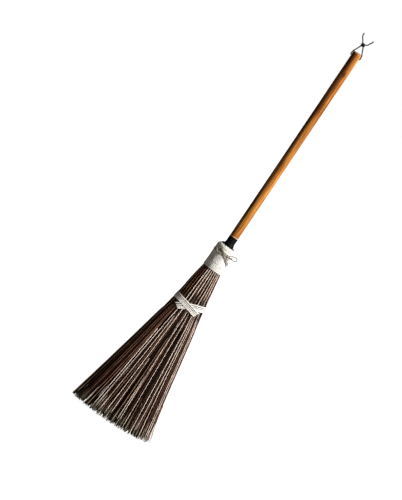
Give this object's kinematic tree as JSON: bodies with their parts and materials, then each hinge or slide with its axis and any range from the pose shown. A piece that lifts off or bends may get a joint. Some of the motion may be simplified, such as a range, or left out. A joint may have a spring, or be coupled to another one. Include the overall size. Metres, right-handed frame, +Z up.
{
  "type": "stick broom",
  "caption": "Natural stick broom with a varnished wooden handle, a black socket, a canvas cuff with a twine bow, a tape band round the fan and a hanging cord.",
  "frame": {"origin": "under the middle of the stick tips, at the height of the lowest tips, on the handle's axis", "axes": "+Z up along the handle's axis, -Y towards the front, where the bow is, +X to the right seen from the front"},
  "size_m": [0.245, 0.0668, 1.2543],
  "materials": {
    "varnished_wood": "amber varnish, satin gloss, fine straight grain with a small knot near the top",
    "socket_plastic": "black moulded plastic, slightly worn",
    "screw_steel": "plain steel",
    "stick_wood": "dark brown natural sticks with tan highlights, paler at the tips",
    "binding_steel": "soft iron wire, dull",
    "canvas": "off-white cotton canvas with stitched hems",
    "jute_twine": "natural jute, twisted strands",
    "cotton_tape": "off-white woven cotton tape with stitched lines",
    "waxed_cord": "dark olive waxed cord"
  },
  "bodies": {
    "pole": {"handle": "varnished_wood", "socket": "socket_plastic", "socket_screw": "screw_steel", "stick_butts_1": "stick_wood", "stick_butts_2": "stick_wood", "stick_butts_3": "stick_wood", "stick_butts_4": "stick_wood", "stick_butts_5": "stick_wood", "stick_butts_6": "stick_wood", "stick_butts_7": "stick_wood", "stick_butts_8": "stick_wood", "binding_wire_upper": "binding_steel", "binding_wire_lower": "binding_steel", "cuff": "canvas", "twine_wrap": "jute_twine", "bow_knot": "jute_twine", "bow_loop_left": "jute_twine", "bow_loop_right": "jute_twine", "bow_tail_long": "jute_twine", "bow_tail_short": "jute_twine"},
    "fan": {"stick_row_1": "stick_wood", "stick_row_2": "stick_wood", "stick_row_3": "stick_wood", "stick_row_4": "stick_wood", "stick_row_5": "stick_wood", "stick_row_6": "stick_wood", "stick_row_7": "stick_wood", "stick_row_8": "stick_wood", "stick_row_9": "stick_wood", "tie_band_back": "cotton_tape", "tie_band_end_over": "cotton_tape", "tie_band_end_under": "cotton_tape"},
    "hang_loop": {"hang_cord_left": "waxed_cord", "hang_cord_right": "waxed_cord", "hang_tail_left": "waxed_cord", "hang_tail_right": "waxed_cord", "hang_knot": "waxed_cord"}
  },
  "joints": [
    {"name": "stick_flex", "type": "hinge", "parent": "pole", "child": "fan", "pos_m": [0, 0, 0.497], "axis": [1, 0, 0], "range_deg": [-15, 15], "stiffness_Nm_per_rad": 28},
    {"name": "hang_loop_swing", "type": "hinge", "parent": "pole", "child": "hang_loop", "pos_m": [0, 0, 1.185], "axis": [1, 0, 0], "range_deg": [-140, 140]}
  ]
}
